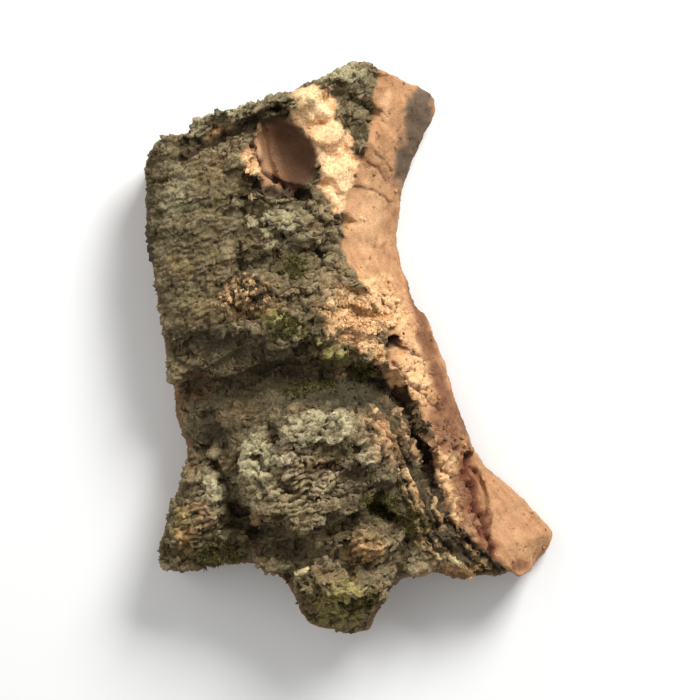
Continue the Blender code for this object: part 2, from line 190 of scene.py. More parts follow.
def shaken(points, size, reach, seed):
    """The points moved about by waves, so that what is read there comes out crooked."""
    moves = [waves(points, size, seed + 7 * axis) for axis in range(3)]
    return points + reach * np.stack(moves, axis=1)


# %% [markdown]
# ## A fine skin over the solid
#
# The solid has about 11,600 triangles, far too few for grains of cork. A voxel remesh lays an even net
# of tiny faces over the same shape, overhangs included, so that it can be carved with code. The carved
# skin is thinned out again later, because a finished piece stays under 200,000 triangles.

# %% Fine skin
FINE_VOXEL = 0.28 * MM


def new_object(name, mesh):
    """An object for a mesh, put into the scene."""
    made = bpy.data.objects.new(name, mesh)
    bpy.context.scene.collection.objects.link(made)
    return made


def with_modifiers(source, name):
    """The mesh that an object's modifiers give, as a new mesh. The object itself is removed."""
    graph = bpy.context.evaluated_depsgraph_get()
    mesh = bpy.data.meshes.new_from_object(source.evaluated_get(graph))
    mesh.name = name
    bpy.data.objects.remove(source)
    return mesh


def fine_skin(source):
    """An even fine mesh over a copy of the solid."""
    mesh = source.data.copy()
    work = bmesh.new()
    work.from_mesh(mesh)
    bmesh.ops.remove_doubles(work, verts=work.verts, dist=0.001 * MM)
    work.to_mesh(mesh)
    work.free()
    rough = new_object("rough skin", mesh)
    net = rough.modifiers.new("Fine net", "REMESH")
    net.mode = "VOXEL"
    net.voxel_size = FINE_VOXEL
    return with_modifiers(rough, "fine skin")


def points_of(mesh):
    """A mesh's points as an array."""
    flat = np.empty(len(mesh.vertices) * 3)
    mesh.vertices.foreach_get("co", flat)
    return flat.reshape(-1, 3)


def normals_of(mesh):
    """The direction that the surface faces at each of a mesh's points."""
    flat = np.empty(len(mesh.vertices) * 3, dtype=np.float32)
    mesh.vertex_normals.foreach_get("vector", flat)
    return flat.reshape(-1, 3).astype(float)


skin = fine_skin(solid_bark)
points = points_of(skin)
normals = normals_of(skin)
print("fine skin points:", len(points))

# %% [markdown]
# ## High and low ground
#
# Lichen likes the ridges and moss the hollows, and the deepest of those get painted light that lifts their
# shade. Averaging each point with its neighbours many times flattens the skin. Where the flattened skin
# lies above the real one there is a hollow, and where it lies below there is a ridge.

# %% Hollows
def edges_of(mesh):
    """The pairs of points that a mesh's edges join."""
    flat = np.empty(len(mesh.edges) * 2, dtype=np.int32)
    mesh.edges.foreach_get("vertices", flat)
    return flat.reshape(-1, 2)


def averaged(values, edges, rounds):
    """Values averaged with those of their neighbours, as many times as asked."""
    first, last = edges[:, 0], edges[:, 1]
    neighbours = np.bincount(edges.ravel(), minlength=len(values))
    for _ in range(rounds):
        total = np.bincount(first, values[last], len(values)) + np.bincount(last, values[first], len(values))
        values = 0.5 * values + 0.5 * total / neighbours
    return values


def hollowness(mesh, reach):
    """How deep each point lies below the skin flattened over about that reach, in metres."""
    places = points_of(mesh)
    edges = edges_of(mesh)
    rounds = int(2.0 * (reach / FINE_VOXEL) ** 2)
    flattened = np.stack([averaged(places[:, axis], edges, rounds) for axis in range(3)], axis=1)
    return ((flattened - places) * normals_of(mesh)).sum(axis=1)


hollow = hollowness(skin, 1.8 * MM)
print("hollows, mm:", [round(float(value) / MM, 2) for value in np.percentile(hollow, (2, 50, 98))])

# %% [markdown]
# ## Where each kind of surface is
#
# One formula can't serve the whole piece: the cut is smooth, the left slab is finely banded, the inner
# face is nearly plain, and the rest is broken. So each point gets shares from 0 to 1 that say what it
# belongs to. The fresh cut is all that lies to the right of its upper edge. The low steep walls round
# the rim are broken sides, where the layers of cork can be seen from their edges. The patches are
# ovals with edges that wander.

# %% Shares
CUT_CREST = millimetres([
    (6.5, 64.0), (5.9, 56.0), (3.8, 42.0), (-0.8, 31.5), (-1.8, 20.5), (3.8, 10.2), (7.5, 1.5),
    (7.9, -7.5), (12.3, -11.7), (16.0, -20.5), (19.1, -29.0), (20.7, -34.0), (25.0, -38.3),
    (29.3, -42.0), (36.0, -50.0),
])


def beside_path(places, path):
    """Distance to a path of straight runs, positive on the left of someone who walks along it."""
    best = np.full(len(places), np.inf)
    side = np.ones(len(places))
    for start, end in zip(path[:-1], path[1:]):
        run = end - start
        share = np.clip(((places - start) @ run) / (run @ run), 0.0, 1.0)
        off = places - (start + share[:, None] * run)
        distance = np.hypot(off[:, 0], off[:, 1])
        closer = distance < best
        best = np.where(closer, distance, best)
        side = np.where(closer, np.sign(run[0] * off[:, 1] - run[1] * off[:, 0]), side)
    return best * side


def oval(places, centre, half, turn):
    """1 at the middle of an oval, 0 at its edge and negative outside it. Sizes in mm, turn in degrees."""
    across, up = (places - millimetres(centre)).T
    cos, sin = math.cos(math.radians(turn)), math.sin(math.radians(turn))
    wide, high = millimetres(half)
    return 1.0 - np.hypot((across * cos + up * sin) / wide, (up * cos - across * sin) / high)


def patches(ovals, softness=0.35, wander=1.0):
    """How much of each point lies in any of several ovals."""
    share = np.zeros(len(points))
    for centre, half, turn in ovals:
        inside = oval(points[:, :2], centre, half, turn) + wander * edge_wander
        share = np.maximum(share, blend_step(0.0, softness, inside))
    return share


def inner_face():
    """1 on the inner face, which looks down with none of the bark below it."""
    share = np.zeros(len(points))
    below = Vector((0, 0, -1))
    step = below * 0.05 * MM
    surface = BVHTree.FromPolygons(points.tolist(), [face.vertices[:] for face in skin.polygons])
    for number in np.nonzero(normals[:, 2] < 0.1)[0]:
        share[number] = surface.ray_cast(Vector(points[number]) + step, below)[0] is None
    return share * blend_step(0.1, -0.45, normals[:, 2])


edge_wander = 0.3 * waves(points, 4.0 * MM, 3) + 0.2 * waves(points, 1.6 * MM, 4)
inner = inner_face()
outer = 1.0 - inner
beside_crest = beside_path(points[:, :2], CUT_CREST) + 1.6 * MM * edge_wander
cut = blend_step(-0.4 * MM, 0.4 * MM, beside_crest) * outer
wall = blend_step(0.75, 0.35, normals[:, 2])
low_down = blend_step(14.0 * MM, 9.0 * MM, points[:, 2] + 4.0 * MM * edge_wander)
broken_side = wall * low_down * outer * (1.0 - cut)
print("on the cut:", round(float(cut.mean()), 2), "on the inner face:", round(float(inner.mean()), 2))

# %% [markdown]
# ## Special places
#
# Reading the photograph from the top end down gives these places. Each oval is a centre, two half
# sizes and a turn. The rough orange knoll and the smooth scoop beside it are old breaks, so they show
# cork too, and so does the crumbly patch where the cut's upper edge has broken away.

# %% Places
SCOOP = [((-13.0, 39.3), (6.6, 8.2), 25.0)]
KNOLL = [((-6.5, 45.0), (6.4, 9.4), 15.0), ((-2.0, 35.0), (5.0, 8.0), 0.0)]
PALE_RIM_OF_KNOLL = [((-9.4, 48.6), (5.5, 3.2), 25.0), ((-10.8, 43.4), (2.0, 4.0), 20.0)]
CRUMBS = [
    ((-18.8, 37.8), (3.2, 5.2), 15.0), ((2.0, 6.5), (8.6, 7.4), -35.0),
    ((6.0, -1.0), (2.6, 3.4), 0.0),
]
SLAB = [((-31.5, 20.0), (12.5, 27.0), 4.0)]
VALLEY = [
    ((-19.0, -4.5), (19.0, 7.6), -3.0), ((-30.0, -12.5), (9.0, 10.0), 0.0),
    ((-14.0, -38.8), (9.5, 4.2), -14.0), ((7.5, -30.5), (6.4, 4.2), -25.0),
]
SHADED_BARK = [
    ((-28.0, 2.5), (12.0, 4.5), 0.0), ((-28.0, -17.0), (8.0, 6.5), 0.0),
    ((-24.0, -42.0), (8.5, 3.6), 0.0), ((-8.0, -9.5), (8.0, 3.4), 0.0),
    ((-40.6, 18.0), (1.8, 26.0), 4.0), ((11.0, -27.0), (5.0, 11.0), 30.0),
]
# The bump above the ridge, painted dark: painted shade over its own dark mossy tone.
DARK_BUMP = [((0.5, -8.2), (10.0, 4.8), -6.0)]
GREY_RIDGE = [((-8.0, -24.0), (13.0, 10.0), 0.0), ((5.0, -20.0), (5.5, 6.0), 0.0)]
ROTTEN_PIT = [((-20.5, 11.0), (8.2, 5.4), -12.0)]
LEDGED = [
    ((-9.5, -28.5), (9.0, 7.5), 0.0), ((3.5, -40.0), (5.0, 5.4), 25.0),
    ((1.0, -50.5), (8.0, 5.5), 10.0), ((-31.0, -35.0), (5.5, 8.0), -15.0),
]
PINK_CHUNK = [((-31.0, -34.5), (4.4, 6.5), -20.0)]
TAN_LOBE = [
    ((3.0, -39.8), (5.0, 5.0), 20.0), ((22.0, -44.5), (10.0, 1.6), 0.0),
    ((-33.5, -38.5), (2.6, 4.4), 0.0), ((-26.5, 43.8), (4.2, 1.9), 28.0),
]
RUST_ON_RIDGE = [
    ((7.0, -18.0), (8.0, 6.0), -35.0), ((-19.0, -34.0), (4.0, 3.0), 0.0),
    ((-6.0, -22.5), (7.0, 2.4), 20.0),
]
CREAM_SPOTS = [
    ((19.6, -42.3), (3.8, 1.0), -14.0), ((-9.3, -47.4), (2.6, 3.6), 25.0),
    ((-15.4, 46.2), (1.5, 1.7), 0.0),
]
YELLOW_SPOTS = [
    ((-1.5, -51.5), (8.5, 7.0), 8.0), ((-15.0, 6.6), (4.4, 2.2), -20.0),
    ((-3.5, -0.6), (5.5, 2.6), -20.0), ((-34.0, -35.0), (2.4, 5.0), -10.0),
]
DARK_EDGE_OF_CUT = [((14.2, 47.5), (3.8, 12.0), -12.0), ((10.8, 38.5), (2.5, 7.5), -8.0)]
BRIGHT_CUT = [
    ((3.6, 28.0), (5.5, 11.0), -6.0), ((7.2, 50.0), (1.8, 5.0), -10.0),
    ((12.5, -1.0), (4.0, 8.0), 20.0),
]
CRUMBLY_CUT = [
    ((4.5, 8.5), (11.0, 9.0), -30.0), ((13.0, -5.0), (5.5, 9.0), 20.0),
    ((20.5, -19.0), (5.5, 7.0), 20.0), ((22.5, -31.5), (6.2, 12.0), 14.0),
]
RED_CUT = [
    ((20.6, -16.5), (6.4, 8.5), 25.0), ((24.2, -31.0), (4.0, 13.0), 12.0),
    ((18.4, -7.0), (2.4, 9.0), 20.0), ((13.8, 10.0), (2.0, 12.0), 14.0),
    ((15.8, 1.5), (2.2, 7.0), 15.0), ((34.5, -44.0), (2.4, 1.6), 0.0),
]
LICHEN_PLACES = [((-6.0, -15.0), (9.5, 3.8), 8.0), ((-19.0, -21.5), (4.5, 6.0), 40.0)]
FAINT_LICHEN = [
    ((-24.0, 48.0), (14.0, 3.4), 24.0), ((-2.0, 55.0), (8.0, 3.4), 0.0),
    ((-35.0, 30.0), (5.0, 8.0), 0.0), ((-27.0, -28.0), (6.0, 5.0), 0.0),
    ((-15.0, 24.5), (8.0, 5.0), 5.0),
]
MOSS_PLACES = [
    ((7.0, -31.0), (6.0, 4.0), -15.0), ((1.8, -51.8), (4.4, 2.6), 12.0),
    ((2.5, -4.0), (4.0, 2.6), -10.0), ((-11.0, 17.0), (5.0, 4.0), 0.0),
    ((-9.0, -7.0), (8.0, 2.6), 5.0), ((-12.0, 5.0), (7.0, 3.4), 0.0),
    ((-27.0, -41.0), (7.0, 4.0), 0.0), ((13.0, -34.0), (4.0, 5.0), 0.0),
]

scoop = patches(SCOOP, 0.2, 0.4) * outer
knoll = patches(KNOLL) * outer * (1.0 - scoop)
crumbs = patches(CRUMBS, 0.5) * outer * (1.0 - scoop)
slab = patches(SLAB, 0.5) * outer
valley = patches(VALLEY, 0.5) * outer * (1.0 - cut)
ledged = patches(LEDGED, 0.5) * outer * (1.0 - cut)
crumbly_cut = patches(CRUMBLY_CUT, 0.5) * cut
smooth_cut = cut * (1.0 - crumbly_cut)
fresh = np.clip(np.maximum(crumbs, knoll), 0.0, 1.0)
print("lichen places:", len(LICHEN_PLACES), "moss places:", len(MOSS_PLACES))

# %% [markdown]
# ## Crevices and strata
#
# A few deep cracks can be followed, so they are drawn as paths. The longest splits the foot of
# the cut, two black ones part the cut from the old bark beside it, and two more run below the scoop and
# along the rim. Left of the cut's lower half the bark's layers come to the surface one by one, as stripes
# that run along with the crest.

# %% Crevices
FOOT_FISSURE = [(23.2, -21.5), (24.9, -26.8), (26.0, -32.3), (27.4, -37.3), (29.6, -44.0)]
BLACK_CREVICES = [
    [(9.5, -8.0), (12.6, -11.0), (15.2, -19.0), (16.4, -27.5)],
    [(18.0, -28.5), (20.3, -34.0), (24.0, -38.8), (27.5, -42.0)],
    [(-19.5, 34.0), (-15.5, 31.4), (-9.5, 31.6)],
    [(-34.0, 39.0), (-27.0, 42.6), (-20.0, 45.0), (-13.5, 47.0)],
]
CUT_CRACKS = [
    [(-1.0, 17.5), (3.0, 12.0), (9.5, 8.0)],
    [(2.0, 12.5), (6.5, 4.5), (8.0, 1.0)],
    [(7.0, 4.5), (11.5, 0.0), (14.5, -1.5)],
    [(9.0, -2.0), (13.5, -8.0), (19.0, -12.0)],
    [(17.0, -18.5), (22.5, -19.5)],
]
CUT_LINES = [
    [(0.6, 33.2), (4.5, 32.6), (8.8, 30.2)],
    [(-0.5, 43.5), (4.5, 40.5), (8.6, 36.5)],
    [(0.5, 40.8), (4.6, 37.8), (7.6, 34.6)],
    [(3.6, 50.0), (8.0, 47.5)],
]
SCOOP_CRACK = [(-19.2, 42.5), (-18.6, 39.0), (-17.2, 36.2), (-14.8, 33.9), (-12.4, 32.6)]
WORM_HOLE = ((8.9, 1.6), (2.0, 1.4), 20.0)


def path_share(paths, width, seed, reach=1.1):
    """1 along any of several paths, given in mm, and 0 about that width away, with ragged edges."""
    crooked_plan = shaken(points, 2.6 * MM, reach * MM, seed)[:, :2]
    distance = np.min([np.abs(beside_path(crooked_plan, millimetres(path))) for path in paths], axis=0)
    ragged = width * MM * (1.0 + 0.7 * waves(points, 1.5 * MM, seed + 40))
    return 1.0 - blend_step(0.35, 1.0, distance / np.maximum(ragged, 0.15 * MM))


def ledges(across, spacing, seed, wander):
    """Steps like the edges of stacked sheets, from 0 slowly up to 1, and each sheet's own number."""
    moved = across + wander * waves(points, 3.4 * MM, seed)
    moved = moved + 0.4 * wander * waves(points, 1.2 * MM, seed + 1)
    sheet = np.floor(moved / spacing).astype(np.int64)
    phase = moved / spacing - sheet
    number = lattice_random(np.stack([sheet, sheet, sheet], axis=1), seed)
    return np.minimum(phase / 0.78, (1.0 - phase) / 0.22), number


fissure = path_share([FOOT_FISSURE], 0.9, 120) * cut
fissure_stain = path_share([FOOT_FISSURE], 2.0, 120) * cut
crevices = path_share(BLACK_CREVICES, 1.5, 121) * outer
cut_cracks = path_share(CUT_CRACKS, 0.45, 122) * cut + 0.6 * path_share(CUT_LINES, 0.3, 123, 0.5) * cut
scoop_crack = path_share([SCOOP_CRACK], 0.55, 124, 0.5) * outer
worm_hole = blend_step(0.0, 0.5, oval(points[:, :2], *WORM_HOLE) + 0.3 * edge_wander) * outer
strata = blend_step(-11.0 * MM, -6.0 * MM, beside_crest) * outer * (1.0 - cut)
strata *= blend_step(-6.0 * MM, -12.0 * MM, points[:, 1]) * blend_step(0.1, 0.4, normals[:, 2])
crest_ledges, crest_number = ledges(beside_crest, 1.7 * MM, 130, 0.8 * MM)
flat_ledges, flat_number = ledges(0.25 * points[:, 0] - points[:, 1], 1.4 * MM, 134, 1.3 * MM)
knoll_folds, fold_number = ledges(0.6 * points[:, 0] + 0.8 * points[:, 1], 2.6 * MM, 138, 0.9 * MM)
print("strata share:", round(float(strata.mean()), 3), "crevices:", round(float(crevices.mean()), 3))

# %% [markdown]
# ## The relief
#
# Now the skin is carved along its own normals. Old bark carries three sizes of crack: plates, lumps in
# the plates and grains in the lumps. All three are longer than they are high and lie nearly across the
# branch, as cork tears that way. The slab keeps only a third of that but has fine bands. Steep walls
# show the yearly layers as thin steps. Fresh cork is nearly smooth, apart from grains, pits where its
# pores run, and the crumbly parts.

# %% Relief
def groove(gap, width):
    """1 in the middle of a crack and 0 from that width on."""
    return 1.0 - blend_step(0.0, width, gap)


PLATE = 6.4 * MM
LUMP = 2.3 * MM
GRAIN = 1.1 * MM
BAND_TURN = Matrix.Rotation(math.radians(14), 3, "Z")

crooked = shaken(points, 2.6 * MM, 1.0 * MM, 50) @ np.array(BAND_TURN)
plate_gap, plate_number, plate_slant = cells(crooked, PLATE, 21, (1.5, 0.7, 1.0))
lump_gap, lump_number, lump_slant = cells(crooked, LUMP, 41, (1.7, 0.62, 1.6))
shaken_finely = shaken(points, 0.9 * MM, 0.4 * MM, 80) @ np.array(BAND_TURN)
grain_gap, grain_number, grain_slant = cells(shaken_finely, GRAIN, 61, (1.6, 0.7, 0.9))
lump_lines = groove(lump_gap, 0.09)
rough = 0.6 * waves(points, 1.3 * MM, 90) + 0.4 * waves(points, 0.65 * MM, 91)
layers = waves(points, 0.8 * MM, 93, (9.0, 9.0, 1.0))
long_cracks = groove(np.abs(waves(crooked, 4.2 * MM, 94, (2.2, 0.8, 1.0))), 0.09)
long_cracks *= blend_step(-0.1, 0.3, waves(points, 9.0 * MM, 95))
lichen_place = patches(LICHEN_PLACES, 0.4)
soft = np.clip(slab + 0.8 * ledged + 1.3 * strata + 0.6 * valley + 0.4 * lichen_place, 0.0, 1.3)

broken = 0.8 * (plate_number - 0.5) + 0.7 * plate_slant - 0.7 * groove(plate_gap, 0.08) - 1.1 * long_cracks
broken = broken + 0.4 * (lump_number - 0.5) + 0.55 * lump_slant - 0.4 * lump_lines
grains = 0.2 * (grain_number - 0.5) + 0.4 * grain_slant - 0.12 * groove(grain_gap, 0.15) + 0.3 * rough
bark_relief = broken * (1.0 - 0.66 * soft) + grains * (1.0 - 0.5 * strata) + 0.3 * layers * wall
bark_relief = bark_relief + (flat_ledges - 0.5) * (0.15 + 0.35 * slab + 1.0 * ledged) * (1.0 - strata)
bark_relief = bark_relief + (1.1 * crest_ledges + 0.8 * crest_number - 1.1) * strata - 0.8 * valley
cork_relief = 0.6 * (lump_number - 0.5) + 0.7 * lump_slant - 0.45 * groove(lump_gap, 0.07)
cork_relief = cork_relief + 0.2 * grain_slant + 0.15 * (grain_number - 0.5) + 0.12 * rough
side_relief = 0.35 * layers + 0.35 * lump_slant + 0.2 * grain_slant + 0.15 * rough - 0.2 * lump_lines
knoll_relief = 0.3 * (knoll_folds - 0.5) + 0.25 * (fold_number - 0.5)
knoll_relief = knoll_relief + 0.15 * plate_slant + 0.08 * grain_slant + 0.06 * rough
pore_gap = cells(crooked, 2.2 * MM, 71, (0.5, 0.5, 1.6))[0]
pores = groove(pore_gap, 0.05) * blend_step(0.1, 0.5, waves(points, 3.0 * MM, 96))
smooth_relief = 0.25 * waves(points, 3.0 * MM, 97) + 0.16 * plate_slant + 0.12 * grain_slant + 0.08 * rough
smooth_relief = smooth_relief + 0.1 * layers - 0.25 * pores
scoop_relief = 0.2 * waves(points, 4.0 * MM, 100) + 0.06 * rough - 1.0 * scoop_crack
inner_relief = 0.3 * waves(points, 1.7 * MM, 98, (1.0, 7.0, 1.0)) + 0.05 * rough

relief = bark_relief * (1.0 - broken_side) + side_relief * broken_side
relief = relief * (1.0 - fresh) + cork_relief * fresh
relief = relief * (1.0 - knoll) + knoll_relief * knoll
relief = relief * (1.0 - scoop) + scoop_relief * scoop
relief = relief * (1.0 - cut) + (cork_relief * crumbly_cut + smooth_relief * smooth_cut)
relief = relief * outer + inner_relief * inner
relief = relief - 1.5 * fissure - 1.5 * crevices - 0.45 * cut_cracks - 2.0 * worm_hole
relief = relief - 1.2 * patches(ROTTEN_PIT, 0.6) * blend_step(0.1, 0.35, waves(points, 2.0 * MM, 99)) * outer
print("relief, mm:", [round(float(value), 2) for value in np.percentile(relief, (0, 5, 50, 95, 100))])

# %% [markdown]
# ## The paint
#
# The colours follow from the same numbers. Cracks hold grime, and painted shade takes them nearly to
# black-brown. Rubbed tops are grey, and the lighter high ground is painted light as well. The valley and
# the deep hollows get painted light that lifts their shade, and a few places get painted shade. Lichen
# greys the ridges with green, moss lies in the hollows, and each lump is a little lighter or darker than
# its neighbour. Colours are written as a screen shows them, from 0 to 255.

# %% Paint
def colour(red, green, blue):
    """A colour as a screen shows it, made linear as Blender wants it."""
    share = np.array([red, green, blue]) / 255.0
    return np.where(share <= 0.04045, share / 12.92, ((share + 0.055) / 1.055) ** 2.4)


def lay(paint, tint, share):
    """Another colour laid over the paint, as thickly as its share says."""
    return paint + (tint - paint) * np.clip(share, 0.0, 1.0)[:, None]


def shade(low, high, share):
    """A colour between two others for each point."""
    return low + (high - low) * np.clip(share, 0.0, 1.0)[:, None]


mottle = 0.5 + 0.5 * waves(points, 5.0 * MM, 110)
fleck = 0.5 + 0.5 * waves(points, 1.2 * MM, 111)
top = blend_step(-0.5, 0.5, relief + 0.4 * valley)
crack = blend_step(-0.45, -1.3, relief + 1.0 * valley)
deep = blend_step(0.15 * MM, 0.9 * MM, hollow)
ridge = blend_step(0.1 * MM, -0.6 * MM, hollow)

seams = blend_step(0.3, 0.0, flat_ledges)

lichen = np.maximum(lichen_place, 0.65 * patches(FAINT_LICHEN, 0.7)) + 0.2 * ridge
lichen = np.clip(lichen, 0.0, 1.0) * outer * (1.0 - valley) * (1.0 - 0.7 * deep)
lichen = lichen * blend_step(0.0, 0.6, 0.6 * fleck + 0.5 * top + 0.3 * (plate_number - 0.5))
moss = np.clip(patches(MOSS_PLACES, 0.7) + 0.5 * deep * blend_step(0.5, 0.9, mottle), 0.0, 1.0) * outer
moss = moss * blend_step(0.25, 0.6, fleck) * (1.0 - cut) * (1.0 - fresh) * (1.0 - scoop)
# Painted light: the valley and the deepest hollows get a share of pale grey-brown that lifts their shade.
painted_light_in_hollows = np.clip(0.5 * valley + 0.45 * deep, 0.0, 1.0)

bark_tone = 0.4 * lump_number + 0.3 * flat_number + 0.6 * (mottle - 0.25)
bark_paint = shade(colour(74, 64, 42), colour(114, 96, 66), bark_tone)
rusty_plates = blend_step(0.66, 0.9, plate_number) * blend_step(0.4, 0.7, mottle)
bark_paint = lay(bark_paint, colour(136, 98, 60), 0.5 * rusty_plates)
# The high ground turns a lighter grey: rubbed wear, and painted light as well.
bark_paint = lay(bark_paint, colour(148, 132, 100), 0.55 * top * (1.0 - valley))
slab_tone = blend_step(0.5, 0.8, 0.5 * mottle + 0.5 * fleck + 0.2 * (flat_number - 0.5))
bark_paint = lay(bark_paint, colour(134, 122, 80), 0.6 * slab * slab_tone)
grey_ridge = patches(GREY_RIDGE, 0.5) * blend_step(-0.2, 0.5, top - 0.4 * fleck)
grey_paint = shade(colour(148, 131, 102), colour(192, 174, 140), 0.5 * lump_number + 0.5 * mottle)
bark_paint = lay(bark_paint, grey_paint, 0.9 * grey_ridge)
lichen_paint = shade(colour(160, 149, 113), colour(194, 183, 144), 0.5 * fleck + 0.5 * plate_number)
bark_paint = lay(bark_paint, lichen_paint, 0.9 * lichen)
bark_paint = lay(bark_paint, shade(colour(60, 56, 28), colour(104, 98, 52), fleck), 0.7 * moss)
grain_flecks = blend_step(0.45, 0.6, grain_number) * blend_step(0.15, 0.5, crest_number)
grain_flecks *= blend_step(0.1, 0.5, crest_ledges)
bark_paint = lay(bark_paint, colour(66, 56, 38), 0.75 * strata)
fleck_paint = shade(colour(170, 122, 76), colour(220, 184, 134), 2.0 * grain_number - 1.0)
bark_paint = lay(bark_paint, fleck_paint, 0.9 * strata * grain_flecks)
# Each layer step is darker at its foot: a dark seam with painted shade in it.
bark_paint = lay(bark_paint, colour(44, 36, 24), 0.85 * strata * blend_step(0.4, 0.05, crest_ledges))
bark_paint = lay(bark_paint, colour(190, 136, 90), 0.55 * patches(RUST_ON_RIDGE, 0.8) * top)
# Ledges are lighter on their upper parts and darker in their seams: the layers' own banding, with painted
# light and shade on it.
bark_paint = lay(bark_paint, colour(184, 164, 116), 0.55 * ledged * blend_step(0.5, 1.0, flat_ledges))
bark_paint = lay(bark_paint, colour(50, 42, 27), 0.6 * seams * (slab + ledged) * (1.0 - strata))
# Cracks go nearly black-brown: their grime with painted shade over it.
dark_lines = np.maximum(0.85 * crack, 0.5 * lump_lines * (1.0 - slab) * (1.0 - strata))
bark_paint = lay(bark_paint, colour(40, 33, 21), dark_lines)
# Painted light: pale grey-brown laid over the valley and the deep hollows, lifting their shade.
bark_paint = lay(bark_paint, colour(122, 109, 83), 0.8 * painted_light_in_hollows)
streaks = 0.5 + 0.5 * waves(points, 1.1 * MM, 115, (0.8, 4.0, 1.0))
# Painted shade: the bump above the ridge gets dark streaked paint, over its own dark mossy tone.
bump_paint = shade(colour(44, 39, 26), colour(74, 67, 46), streaks)
bark_paint = lay(bark_paint, bump_paint, 0.95 * patches(DARK_BUMP, 0.5))
bark_paint = lay(bark_paint, colour(56, 48, 33), 0.8 * patches(SHADED_BARK, 0.8) * (1.0 - strata))
side_tone = 0.4 * fleck + 0.3 * mottle + 0.3 * blend_step(-0.3, 0.3, layers)
side_paint = shade(colour(98, 75, 52), colour(138, 106, 74), side_tone)
# Its cracks go darker: painted shade.
side_paint = lay(side_paint, colour(58, 42, 28), 0.7 * crack)
bark_paint = lay(bark_paint, side_paint, broken_side)

# The cork is lighter on its high ground and darker in its cracks: painted light and shade over its own tone.
cork_tone = 0.3 * grain_number + 0.3 * lump_number + 0.4 * top
cork_paint = shade(colour(196, 150, 102), colour(234, 192, 142), cork_tone)
cork_paint = lay(cork_paint, colour(108, 70, 44), np.maximum(0.7 * crack, 0.5 * lump_lines))
smooth_paint = shade(colour(170, 124, 86), colour(196, 150, 108), 0.5 * fleck + 0.5 * mottle)
smooth_paint = lay(smooth_paint, colour(150, 104, 68), 0.5 * blend_step(0.1, 0.6, layers))
smooth_paint = lay(smooth_paint, colour(112, 70, 44), 0.8 * pores)
cut_paint = lay(smooth_paint, cork_paint, crumbly_cut)
cut_paint = lay(cut_paint, colour(224, 178, 132), 0.6 * patches(BRIGHT_CUT, 0.8) * (1.0 - crack))
cut_paint = lay(cut_paint, colour(104, 63, 42), 0.95 * patches(RED_CUT, 0.6) * (0.65 + 0.35 * fleck))
cut_paint = lay(cut_paint, colour(88, 77, 64), 0.9 * patches(DARK_EDGE_OF_CUT, 0.5))
cut_paint = lay(cut_paint, colour(112, 58, 38), 0.8 * fissure_stain)
cut_paint = lay(cut_paint, colour(66, 34, 24), np.maximum(0.95 * fissure, 0.75 * cut_cracks))
shaded_side = blend_step(-18.5 * MM, -13.0 * MM, points[:, 0] + 0.25 * (points[:, 1] - 39.0 * MM))
scoop_paint = shade(colour(176, 132, 96), colour(200, 156, 116), fleck)
scoop_paint = lay(scoop_paint, colour(80, 54, 37), 0.95 * shaded_side)
inner_paint = shade(colour(132, 96, 66), colour(176, 134, 94), 0.5 * fleck + 0.5 * mottle)
# The inner face is darker in its dips: painted shade.
inner_paint = lay(inner_paint, colour(84, 58, 40), blend_step(0.0, -0.35, relief))

rotten = patches(ROTTEN_PIT, 0.6) * outer
paint = lay(bark_paint, colour(44, 31, 18), 0.8 * rotten)
paint = lay(paint, colour(212, 172, 122), 0.9 * rotten * blend_step(0.48, 0.6, fleck))
speckle = blend_step(0.3, 0.55, 0.5 * fleck + 0.5 * grain_number)
paint = lay(paint, colour(156, 144, 82), 0.75 * patches(YELLOW_SPOTS, 0.6) * outer * speckle)
cream_share = 0.9 * patches(CREAM_SPOTS, 0.5) * outer * blend_step(0.3, 0.5, fleck)
paint = lay(paint, colour(226, 204, 152), cream_share)
paint = lay(paint, colour(178, 130, 92), 0.6 * patches(PINK_CHUNK, 0.8) * top)
paint = lay(paint, colour(190, 146, 98), 0.9 * patches(TAN_LOBE, 0.8) * (0.4 + 0.6 * top))
paint = lay(paint, cork_paint, fresh)
knoll_paint = shade(colour(232, 182, 132), colour(252, 210, 160), 0.5 * fold_number + 0.5 * fleck)
knoll_paint = lay(knoll_paint, colour(220, 200, 146), 0.4 * patches(PALE_RIM_OF_KNOLL, 0.6))
# Each fold of the knoll is darker at its foot: painted shade.
knoll_paint = lay(knoll_paint, colour(160, 114, 78), 0.4 * blend_step(0.2, 0.0, knoll_folds))
paint = lay(paint, knoll_paint, knoll)
paint = lay(paint, scoop_paint, scoop)
paint = lay(paint, cut_paint, cut)
paint = lay(paint, inner_paint, inner)
paint = lay(paint, colour(76, 62, 45), 0.75 * crevices)
paint = lay(paint, colour(58, 36, 24), 0.9 * scoop_crack)
paint = lay(paint, colour(52, 34, 24), worm_hole)
print("mean paint:", paint.mean(axis=0).round(3))

# %% [markdown]
# ## Carving and thinning
#
# The relief moves each point along its normal. Then the numbers that the material needs are kept on the
# points, and the net is thinned to the limit for one piece. Blender carries the kept numbers along. It
# takes triangles first where the skin is plain, so the inner face loses most and the rough face fewest.

# %% Carved bark
PIECE_LIMIT = 198000


def keep(mesh, name, values):
    """Keep a number or a colour for each point of a mesh."""
    if values.ndim == 1:
        mesh.attributes.new(name, "FLOAT", "POINT").data.foreach_set("value", values)
        return
    filled = np.ones((len(values), 4))
    filled[:, :3] = values
    mesh.attributes.new(name, "FLOAT_COLOR", "POINT").data.foreach_set("color", filled.ravel())


def inside_box(places):
    """Points held inside the solid's own box."""
    return np.clip(places, np.array(low_corner), np.array(high_corner))


